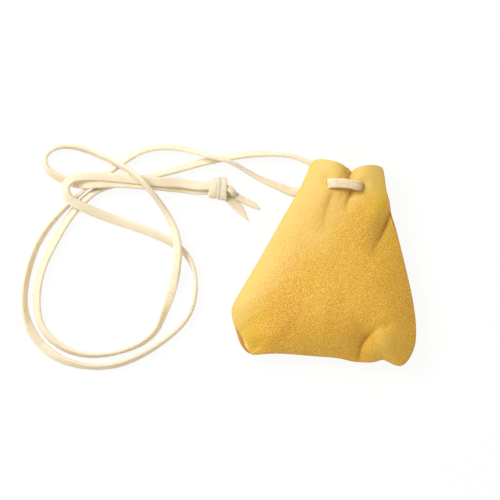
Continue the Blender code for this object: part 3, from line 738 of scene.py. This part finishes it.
def panel_grid(side):
    """Points of a panel's outer face, as rows from the middle line out by stations along the seam.

    On the ray from the middle line to the seam, with t the share of its length from the middle,
    the height is lip + (crown - lip) (1 - t^p). The power p says how square the form is there.
    The lip is an arc of the lip's radius from the slope p (crown - lip) / length round to level,
    and the allowance runs inwards from it. The side is 1 for the front and -1 for the back.
    """
    places, spine, seam, length, inward, waves = panel_rays(side)
    level = seam_height(seam[:, 1])
    crown = front_crown if side > 0 else back_crown
    detail = front_detail if side > 0 else back_detail
    centre_level = level + side * (0.5 * SEAM_GAP + LIP_RADIUS)
    rise = np.abs(crown(seam[:, 0], seam[:, 1]) - centre_level) - 0.8 * LIP_RADIUS
    if side > 0:
        power = soften(np.interp(places, FULLNESS_PLACES, FULLNESS), 12)
    else:
        power = np.maximum(0.84 * length / rise, 2.0)
    slope = np.arctan2(length, np.maximum(rise, 0.3) * power)
    tip_in = LIP_RADIUS * (1.0 - np.cos(slope))
    tip_level = centre_level + side * LIP_RADIUS * np.sin(slope)
    share = (1.0 - np.cos(np.linspace(0.0, 0.5 * math.pi, DOME_ROWS + 1))[:, None]) ** 0.8
    share = 1.0 - share[::-1]
    spot = spine[None] + (seam + inward * tip_in[:, None] - spine)[None] * share[..., None]
    x, y = spot[..., 0], spot[..., 1]
    height = tip_level + (crown(x, y) - tip_level) * (1.0 - share ** power)
    height = height + detail(x, y) + waves * np.exp(-(1.0 - share) * length / 2.0)
    rows = [raised(spot, height)]
    turn = slope[None] + (-0.5 * math.pi - slope[None]) * np.linspace(0.0, 1.0, LIP_ROWS + 1)[1:, None]
    lip = seam[None] + inward[None] * (LIP_RADIUS * (1.0 - np.cos(turn)))[..., None]
    follow = ease((turn + 0.5 * math.pi) / (slope + 0.5 * math.pi))
    height = centre_level + side * LIP_RADIUS * np.sin(turn) + waves
    height = height + follow * detail(lip[..., 0], lip[..., 1])
    rows.append(raised(lip, height))
    depth = np.linspace(LIP_RADIUS, ALLOWANCE, ALLOWANCE_ROWS + 1)[1:, None]
    strip = seam[None] + inward[None] * depth[..., None]
    height = np.broadcast_to(level + side * 0.5 * SEAM_GAP + waves, strip.shape[:2])
    rows.append(raised(strip, height))
    grid = np.concatenate(rows)
    grid[..., 1] += mouth_shift(grid[..., 0], grid[..., 1])
    return grid


def lip_inset(seam):
    """At the lower left corner the front's lip lies inside the back's, and a little at the left."""
    x, y = seam.T
    corner, _, low = path_reach(x, y, ((-31.9, -23.2), (-29.9, -28.9), (-25.8, -33.0)))
    flank, _, high = path_reach(x, y, ((-30.4, -11.4), (-33.0, -17.4)))
    inset = 1.6 * np.sin(math.pi * low) ** 0.8 * np.exp(-(corner / 1.5) ** 2)
    return inset + 0.4 * np.sin(math.pi * high) * np.exp(-(flank / 1.5) ** 2)


def pucker(places, length):
    """The seam's small ups and downs between stitches, about 4 mm apart."""
    return 0.04 * np.sin(math.tau * places * length / 4.1) + 0.06 * np.sin(math.tau * places * length / 13.0)


def panel_shell(grid, side):
    """A closed shell from the outer face: an inner face one thickness in, and the cut edges.

    The inner point is the outer one minus thickness times the unit normal. Stations that mirror
    each other share the middle line's points. The cut edge bulges a little between the faces.
    """
    rows, stations = grid.shape[:2]
    middle = stations // 2
    number = np.arange(rows * stations).reshape(rows, stations) - middle
    number[0] = np.minimum(np.arange(stations), stations - 1 - np.arange(stations))
    flat = np.concatenate([grid[0, :middle + 1], grid[1:].reshape(-1, 3)])
    down, along = np.gradient(grid, axis=0), np.gradient(grid, axis=1)
    down[0] = grid[1] - grid[1, ::-1]
    normal = unit(np.cross(down, along))
    normal[0] = unit(normal[0] + normal[0, ::-1])
    normal[0, middle] = normal[0, middle - 1]
    normal *= side
    flat_normal = np.concatenate([normal[0, :middle + 1], normal[1:].reshape(-1, 3)])
    inner = flat - LEATHER * flat_normal
    corners = np.stack([number[:-1, :-1], number[1:, :-1], number[1:, 1:], number[:-1, 1:]], axis=-1)
    corners = corners.reshape(-1, 4)
    count = len(flat)
    rim = np.concatenate([number[::-1, 0][:-1], number[:, -1], number[-1, ::-1][1:-1]])
    run = np.roll(flat[rim], -1, axis=0) - np.roll(flat[rim], 1, axis=0)
    outward = unit(np.cross(run, flat_normal[rim]))
    centre = 0.5 * (flat[rim] + inner[rim])
    bulge = centre + 0.22 * LEATHER * outward * side
    outer_faces = corners if side > 0 else corners[:, ::-1]
    inner_faces = outer_faces[:, ::-1] + count
    first, second = rim, np.roll(rim, -1)
    edge = 2 * count + np.arange(len(rim))
    next_edge = np.roll(edge, -1)
    upper = np.stack([first, edge, next_edge, second], axis=-1)
    lower = np.stack([edge, first + count, second + count, next_edge], axis=-1)
    strips = np.concatenate([upper, lower])
    strips = strips if side < 0 else strips[:, ::-1]
    faces = np.concatenate([outer_faces, inner_faces, strips])
    return np.vstack([flat, inner, bulge]), faces


def leather_material():
    """Golden leather: diagonal grain ridges, pores and cloudy areas; painted shade in the folds, in the
    seam's groove and towards the lower right; paler with a painted sheen towards the lamp, and a pale worn
    edge with a painted highlight.
    """
    material, tree, shader = new_material("golden_leather", {"Roughness": 0.56, "Specular IOR Level": 0.6})

    def turned(stretch, turn):
        place = fed(tree, "TexCoord", "Object", {})
        inputs = {"Vector": place, "Rotation": (0.0, 0.0, math.radians(turn)), "Scale": stretch}
        return fed(tree, "Mapping", "Vector", inputs, vector_type="TEXTURE")

    def noise(scale, detail, stretch, turn):
        inputs = {"Vector": turned(stretch, turn), "Scale": scale, "Detail": detail}
        return fed(tree, "TexNoise", "Fac", inputs)

    def sums(operation, *values):
        return calculated(tree, operation, *values, use_clamp=True)

    def vectors(operation, *values):
        return fed(tree, "VectorMath", "Vector", dict(enumerate(values)), operation=operation)

    ridges = fed(tree, "TexWave", "Fac", {
        "Vector": turned((1.0, 1.0, 1.0), GRAIN_TURN), "Scale": RIDGE_SCALE, "Distortion": 5.0,
        "Detail": 1.0, "Detail Scale": 4.0,
    }, bands_direction="Y")
    grain = blended(tree, ridges, noise(PORE_SCALE, 0.0, (1.5, 1.0, 1.0), GRAIN_TURN), 0.74)
    clouds = noise(55.0, 3.0, (1.0, 1.0, 1.0), 0)
    depth = measured(tree, "grain_depth_and_shade")
    hollow = sums("MULTIPLY_ADD", sums("SUBTRACT", 1.0, grain), 3.0, -1.0)
    # Deep gold with the clouds and with the grain's depth. By the depth it is painted shade towards the lower
    # right and at the lower left.
    deeper = sums("MULTIPLY_ADD", sums("SUBTRACT", clouds, 0.2), 0.45, sums("MULTIPLY", depth, 0.5))
    # Paler where the leather is taut, which is also a painted sheen towards the lamp at the upper left.
    colour = painted(tree, measured(tree, "taut_and_sheen"), GOLD_LIGHT, GOLD_PALE_SHEEN)
    colour = painted(tree, deeper, colour, GOLD_DEEP)
    swing = fed(tree, "MapRange", "Result", {"Value": hollow, "To Min": 0.5, "To Max": -0.5})
    colour = vectors("MULTIPLY_ADD", vectors("MULTIPLY", swing, depth), GRAIN_SWING, colour)
    colour = vectors("MAXIMUM", colour, DARKEST)
    # Painted shade: darker in the depth of the folds, under the captive lace and in the seam's groove.
    colour = painted(tree, measured(tree, "fold_shade_tone"), colour, GOLD_FOLD_SHADE)
    # A pale line along the turned edge at the lower left: wear, with a painted highlight.
    colour = painted(tree, measured(tree, "worn_highlight_tone"), colour, GOLD_WORN_HIGHLIGHT)
    tree.links.new(colour, shader.inputs["Base Color"])
    bumped(tree, shader, grain, Distance=GRAIN_HEIGHT * MM, Strength=depth)
    return material


def measure_on(piece, name, values):
    """Stores one number a point on the mesh, for the material to read."""
    layer = piece.data.attributes.new(name, "FLOAT", "POINT")
    layer.data.foreach_set("value", values.astype(np.float32))


# The seam is sewn with one waxed thread in a running stitch, inside the turned edge.
STITCH = 3.6
THREAD = 0.5
THREAD_SIDES = 8
THREAD_DARK = (0.52, 0.40, 0.22)
THREAD_LIGHT = (0.80, 0.68, 0.46)
STITCH_STEPS = 12
SEWN_FROM, SEWN_TO = 0.012, 0.988
SEWN_IN = 2.1


def thread_material():
    """Waxed cream thread: two plies that twist round each other, as stripes along its UV map."""
    material, tree, shader = new_material("waxed_thread", {"Roughness": 0.45})
    place = fed(tree, "TexCoord", "UV", {})
    plies = fed(tree, "TexWave", "Fac", {"Vector": place, "Scale": 0.64},
                bands_direction="DIAGONAL")
    colour = ramped(tree, plies, (0.0, THREAD_DARK), (1.0, THREAD_LIGHT))
    tree.links.new(colour, shader.inputs["Base Color"])
    bumped(tree, shader, plies, Distance=0.1 * MM)
    return material


def seam_thread():
    """A running stitch in the seam's two allowances. Returns points, faces and UVs.

    With s the distance along the seam, the height above it is h sin(pi s / stitch), flattened
    by tanh(2.5 ...) / tanh(2.5), where h clears both allowances by the thread. Under the right
    fold the leather presses the stitches flat.
    """
    outline = smooth_line(SEAM_OUTLINE, 10)
    length = travelled(outline)[-1]
    stitches = int((SEWN_TO - SEWN_FROM) * length / STITCH)
    place = np.linspace(SEWN_FROM * length, SEWN_TO * length, stitches * STITCH_STEPS + 1)
    seam = points_at(outline, place)
    way = headings(seam)
    inward = np.column_stack([-way[:, 1], way[:, 0]])
    x, y = (seam + SEWN_IN * inward).T
    wave = np.tanh(2.5 * np.sin(math.pi * np.arange(len(place)) / STITCH_STEPS)) / math.tanh(2.5)
    pressed = 1.0 - np.where(x > 0.0, 0.95 * np.exp(-((y - 15.0) / 7.0) ** 4), 0.0)
    height = seam_height(y) + (0.5 * SEAM_GAP + LEATHER + 0.5 * THREAD) * wave * pressed
    line = np.column_stack([x, y, height]) * MM
    ways = square_frame(headings(line), np.column_stack([inward, np.zeros(len(inward))]))
    angle = np.linspace(0.0, math.tau, THREAD_SIDES, endpoint=False)
    round_way = ways[0][:, None] * np.cos(angle)[:, None] + ways[1][:, None] * np.sin(angle)[:, None]
    rings = line[:, None] + 0.5 * THREAD * MM * round_way
    return tube_mesh(rings, travelled(line) / (THREAD * MM), np.arange(THREAD_SIDES + 1) / THREAD_SIDES)


thread = link_piece("seam_thread", thread_material(), *seam_thread())

golden_leather = leather_material()
panels = []
for name, side in (("front_leather", 1), ("back_leather", -1)):
    shell_points, shell_faces = panel_shell(panel_grid(side), side)
    panel = link_piece(name, golden_leather, shell_points * MM, shell_faces.tolist())
    x, y, height = shell_points.T
    # Painted shade: the lips darker down in the seam's groove, and the front darker in the depth of its
    # folds.
    in_groove = np.exp(-(np.maximum(np.abs(height - seam_height(y)) - 0.5 * SEAM_GAP, 0.0) / 0.9) ** 2)
    seam_groove_shade = in_groove * ease((np.abs(x - 1.0) / 3.0) + (np.abs(y) / 30.0) ** 8)
    folds = line_tone(x, y, FOLD_SHADE_LINES) if side > 0 else np.zeros(len(x))
    measure_on(panel, "fold_shade_tone", np.maximum(folds, 0.75 * seam_groove_shade))
    measure_on(panel, "worn_highlight_tone", line_tone(x, y, WORN_HIGHLIGHT_LINES) if side > 0 else np.zeros(len(x)))
    measure_on(panel, "grain_depth_and_shade", grain_depth_and_shade(x, y))
    measure_on(panel, "taut_and_sheen", taut_and_sheen_share(x, y))
    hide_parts("front_panel" if side > 0 else "back_panel")
    panels.append(panel)

# The captive stretch of the thong: it comes up through the left pair of punched holes, lies
# flat across the pinch and goes down through the right pair. It pulls the lobes together, and
# it folds narrow where it turns down into a hole.
BRIDGE_ROUTE = (
    (-2.81, 27.36, 1.45), (-1.2, 27.7, 1.7), (0.2, 28.0, 2.7), (1.0, 28.1, 5.0), (1.5, 28.2, 9.5),
    (1.7, 28.3, 13.0), (2.5, 28.4, 14.8), (4.9, 28.45, 15.8), (7.6, 28.3, 16.1), (10.0, 27.95, 15.9),
    (11.8, 27.6, 15.2), (12.7, 27.55, 14.2), (13.4, 27.5, 12.4), (13.9, 27.5, 9.0), (13.9, 27.5, 5.0),
    (13.4, 27.7, 2.7), (12.1, 28.3, 1.7), (10.49, 28.99, 1.45),
)
NARROW_SHARE = 0.58
FLAT_FROM, FLAT_TO = 1.3, 12.9
FRONT_HOLE = (1.2, 0.92)
BACK_HOLE = (1.08, 0.86)
HOLE_LOW, HOLE_HIGH = 2.9, 18.0
HOLES_MIDDLE = 6.0
STEEP = 0.6
SHARP_ANGLE = math.radians(50)


def reeved_line():
    """The centre line of the captive lace in metres, at even steps."""
    return spaced(smooth_line(np.array(BRIDGE_ROUTE) * MM), FINE_STEP)[0]


def folded_share(points):
    """How far the lace is folded, from 0 on its flat stretch to 1 where it stands in the holes."""
    x, height = points[:, 0] / MM, points[:, 2] / MM
    turned = np.maximum(ease((FLAT_FROM - x + 0.5) / 1.0), ease((x - FLAT_TO + 0.3) / 0.9))
    return turned * ease((height - 2.0) / 2.0)


def reeved_stretch(line):
    """The captive lace with its width held level along Y, narrower where it stands in the holes.

    The half width is its flat value times 1 - (1 - s) f, where s is the narrow share and f
    says how far the lace is folded.
    """
    place = travelled(line) / MM
    narrow = 1.0 - (1.0 - NARROW_SHARE) * folded_share(line)
    half_width = 0.5 * LACE_WIDTH * (1.0 + 0.03 * np.sin(place / 2.1)) * narrow
    half_thickness = np.full(len(line), 0.5 * LACE_THICKNESS)
    frame_ways = square_frame(headings(line), np.array([0.0, 1.0, 0.0]))
    return lace_band(line, *frame_ways, half_width, half_thickness)


def cut_away(panel, points, faces):
    """Takes the solid with these points and faces out of the panel's mesh."""
    mesh = bpy.data.meshes.new("punch")
    mesh.from_pydata(points.tolist(), [], faces)
    punch = placed("punch", mesh)
    cut = panel.modifiers.new("hole", "BOOLEAN")
    cut.operation = "DIFFERENCE"
    cut.object = punch
    bpy.context.view_layer.update()
    ready = panel.evaluated_get(bpy.context.evaluated_depsgraph_get())
    whole = panel.data
    panel.data = bpy.data.meshes.new_from_object(ready)
    panel.modifiers.clear()
    bpy.data.meshes.remove(whole)
    bpy.data.objects.remove(punch)


def punch_holes(panel, line, half_across, half_along):
    """Cuts the two holes that the lace passes through, each a rod of rounded section along it."""
    left = line[:, 0] < HOLES_MIDDLE * MM
    for half in (left, ~left):
        rod = line[(line[:, 2] > HOLE_LOW * MM) & half]
        rod = rod[np.abs(headings(rod)[:, 2]) > STEEP]
        rising = rod[-1, 2] > rod[0, 2]
        over = np.array([0.0, 0.0, (HOLE_HIGH - HOLE_LOW) * MM])
        rod = np.vstack([rod, rod[-1] + over]) if rising else np.vstack([rod[0] + over, rod])
        across = np.broadcast_to((0.0, 1.0, 0.0), rod.shape)
        facing = np.broadcast_to((-1.0 if rising else 1.0, 0.0, 0.0), rod.shape)
        width, depth = np.full(len(rod), half_across * MM), np.full(len(rod), half_along * MM)
        cut_away(panel, *lace_band(rod, across, facing, width, depth)[:2])
    panel.data.set_sharp_from_angle(angle=SHARP_ANGLE)


captive_line = reeved_line()
bridge_mesh = reeved_stretch(captive_line)
bridge = link_piece("reeved_lace", cream_lace, *bridge_mesh)
# Painted shade: the lace darker brown where it stands down in the holes, over the light dirt that it carries
# all along.
hole_shade = ease((folded_share(bridge_mesh[0]) - 0.25) / 0.6) * ease((bridge_mesh[0][:, 2] / MM - 5.0) / 4.0)
measure_on(bridge, "soil_and_hole_shade", 0.25 + 0.6 * hole_shade)
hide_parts("thong_bridge")
punch_holes(panels[0], captive_line, *FRONT_HOLE)
punch_holes(panels[1], captive_line, *BACK_HOLE)

# The floor is plain white card. The camera sees it white, with a trace of the pouch's shadow.
FLOOR_SIZE = 3.0
FLOOR_DROP = 0.1 * MM
SHADOW_SHARE = 0.07
WHITE = (1.0, 1.0, 1.0, 1.0)


def seen_directly(tree):
    """1 for rays from the camera, from a mirror or through clear things, and 0 for the others."""
    rays = tree.nodes.new("ShaderNodeLightPath").outputs
    seen = calculated(tree, "MAXIMUM", rays["Is Camera Ray"], rays["Is Glossy Ray"])
    return calculated(tree, "MAXIMUM", seen, rays["Is Transmission Ray"])


def floor_material():
    """White card, mixed for camera and mirror rays with white light, so that its tone is plain."""
    values = {"Base Color": WHITE, "Roughness": 0.9, "Specular IOR Level": 0.0}
    material, tree, shader = new_material("white_card", values)
    glow = fed(tree, "Emission", "Emission", {"Strength": 1.0})
    share = calculated(tree, "MULTIPLY", seen_directly(tree), 1.0 - SHADOW_SHARE)
    surface = fed(tree, "MixShader", "Shader", {"Fac": share, 1: shader.outputs["BSDF"], 2: glow})
    tree.links.new(surface, tree.nodes["Material Output"].inputs["Surface"])
    return material


floor_mesh = bpy.data.meshes.new("floor")
half = 0.5 * FLOOR_SIZE
floor_corners = [(half * x, half * y, -FLOOR_DROP) for x, y in ((-1, -1), (1, -1), (1, 1), (-1, 1))]
floor_mesh.from_pydata(floor_corners, [], [(0, 1, 2, 3)])
floor_mesh.materials.append(floor_material())
floor = placed("floor", floor_mesh)

# One large soft lamp stands at the upper left, and a plain room of warm white fills the shadows.
LAMP_PLACE = (-0.62, 0.46, 0.78)
LAMP_SIZE = 0.5
LAMP_POWER = 9.8
ROOM_STRENGTH = 0.53
ROOM_TINT = (1.0, 0.92, 0.80)

lamp_data = bpy.data.lights.new("soft_lamp", "AREA")
lamp_data.shape = "SQUARE"
lamp_data.size = LAMP_SIZE
lamp_data.energy = LAMP_POWER
lamp = placed("soft_lamp", lamp_data)
lamp.location = LAMP_PLACE
reach = np.array(LAMP_PLACE)
lamp.rotation_euler = (math.acos(reach[2] / np.linalg.norm(reach)), 0.0, math.atan2(reach[0], -reach[1]))

world = bpy.data.worlds.new("white_room")
bpy.context.scene.world = world
world.use_nodes = True
room = world.node_tree
fill = room.nodes["Background"]
fill.inputs["Color"].default_value = (*ROOM_TINT, 1.0)
fill.inputs["Strength"].default_value = ROOM_STRENGTH
shown = fed(room, "Background", "Background", {"Color": WHITE, "Strength": 1.0})
choice = fed(room, "MixShader", "Shader",
             {"Fac": seen_directly(room), 1: fill.outputs["Background"], 2: shown})
room.links.new(choice, room.nodes["World Output"].inputs["Surface"])

bpy.context.scene.view_settings.view_transform = "Standard"
